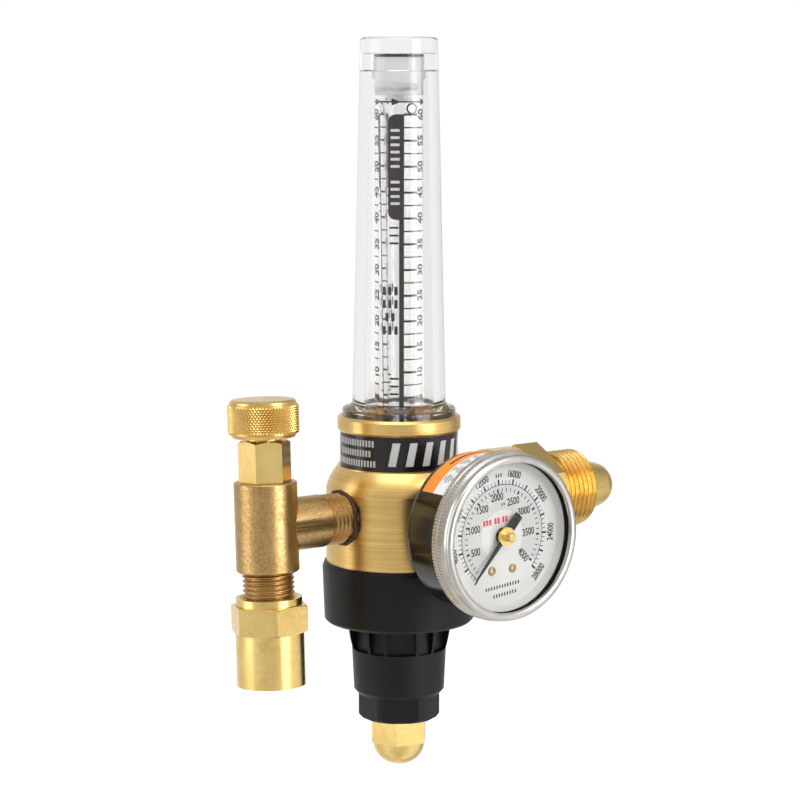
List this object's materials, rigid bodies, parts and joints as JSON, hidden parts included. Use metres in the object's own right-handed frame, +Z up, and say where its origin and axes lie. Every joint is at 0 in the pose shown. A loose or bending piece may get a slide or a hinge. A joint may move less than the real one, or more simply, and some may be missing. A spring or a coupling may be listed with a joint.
{
  "type": "flowmeter",
  "caption": "Upright brass flowmeter regulator for shielding gas: clear tapered flow tube on a brass body, with a round pressure gauge, side outlet valve and threaded inlet nut",
  "frame": {"origin": "Centre of the inlet nut's thread at its end, on the inlet axis", "axes": "+X points out of the inlet towards the cylinder valve, +Z is up along the flow tube, and the gauge faces -Y"},
  "size_m": [0.1442, 0.0783, 0.2193],
  "materials": {
    "polished_brass": "gloss",
    "body_brass": "satin",
    "cast_brass": "matte",
    "sintered_bronze": "matte",
    "black_plastic": "satin",
    "white_plastic": "satin",
    "frosted_plastic": "satin",
    "clear_plastic": "gloss",
    "rubber_black": "matte",
    "steel_bright": "satin",
    "bezel_steel": "satin",
    "black_enamel": "gloss",
    "dial_face": "satin",
    "label_film": "gloss",
    "sticker_film": "gloss",
    "sealant": "matte"
  },
  "bodies": {
    "regulator": {"regulator_body": "body_brass", "label_band": "label_film", "tube_cover": "clear_plastic", "base_seal": "rubber_black", "flow_tube": "clear_plastic", "float_stop": "white_plastic", "top_plug": "frosted_plastic", "top_o_ring": "rubber_black", "bonnet": "black_plastic", "diaphragm": "rubber_black", "diaphragm_plate": "steel_bright", "spring_button": "steel_bright", "adjusting_spring": "steel_bright", "adjusting_screw": "steel_bright", "acorn_cap": "polished_brass", "valve_seat": "polished_brass", "inlet_nipple": "polished_brass", "inlet_filter": "sintered_bronze", "gauge_case": "black_enamel", "gauge_sticker": "sticker_film", "gauge_bezel": "bezel_steel", "window_gasket": "rubber_black", "gauge_window": "clear_plastic", "gauge_dial": "dial_face", "dial_screws": "polished_brass", "gauge_socket": "polished_brass", "bourdon_tube": "polished_brass", "movement_frame": "polished_brass", "outlet_tee": "cast_brass", "thread_sealant": "sealant", "packing_ring": "white_plastic", "packing_nut": "polished_brass", "outlet_adapter": "polished_brass"},
    "float": {"float_ball": "steel_bright"},
    "valve_stem_body": {"valve_stem": "polished_brass"},
    "valve_knob_body": {"valve_knob": "polished_brass"},
    "inlet_nut_body": {"inlet_nut": "polished_brass"},
    "gauge_pointer": {"pointer_arbor": "polished_brass", "pointer": "black_enamel"},
    "gauge_sector": {"sector_gear": "polished_brass"},
    "reducing_valve": {"valve_poppet": "polished_brass", "poppet_spring": "steel_bright"}
  },
  "joints": [
    {"name": "float_rise", "type": "slide", "parent": "regulator", "child": "float", "axis": [0, 0, 1], "range_m": [0, 0.093]},
    {"name": "stem_lift", "type": "slide", "parent": "regulator", "child": "valve_stem_body", "axis": [0, 0.0419, 0.9991], "range_m": [0, 0.003]},
    {"name": "knob_turn", "type": "hinge", "parent": "valve_stem_body", "child": "valve_knob_body", "pos_m": [-0.11775, 0, 0], "axis": [0, 0.0419, 0.9991], "range_deg": [0, 1080]},
    {"name": "nut_spin", "type": "hinge", "parent": "regulator", "child": "inlet_nut_body", "pos_m": [-0.02, 0, 0], "axis": [1, 0, 0], "continuous": true},
    {"name": "pointer_sweep", "type": "hinge", "parent": "regulator", "child": "gauge_pointer", "pos_m": [-0.06935, -0.049, -0.0007], "axis": [0, 1, 0], "range_deg": [0, 270], "stiffness_Nm_per_rad": 0.0002},
    {"name": "sector_sweep", "type": "hinge", "parent": "regulator", "child": "gauge_sector", "pos_m": [-0.06935, -0.0425, -0.0142], "axis": [0, -1, 0], "range_deg": [0, 34]},
    {"name": "poppet_lift", "type": "slide", "parent": "regulator", "child": "reducing_valve", "axis": [0, 0, 1], "range_m": [0, 0.0006], "stiffness_N_per_m": 150, "springref_m": -0.002, "deforming": ["poppet_spring"]}
  ],
  "couplings": [
    {"joint": "knob_turn", "follows": "stem_lift", "rad_per_m": 6283.2},
    {"joint": "sector_sweep", "follows": "pointer_sweep", "ratio": 0.125}
  ]
}
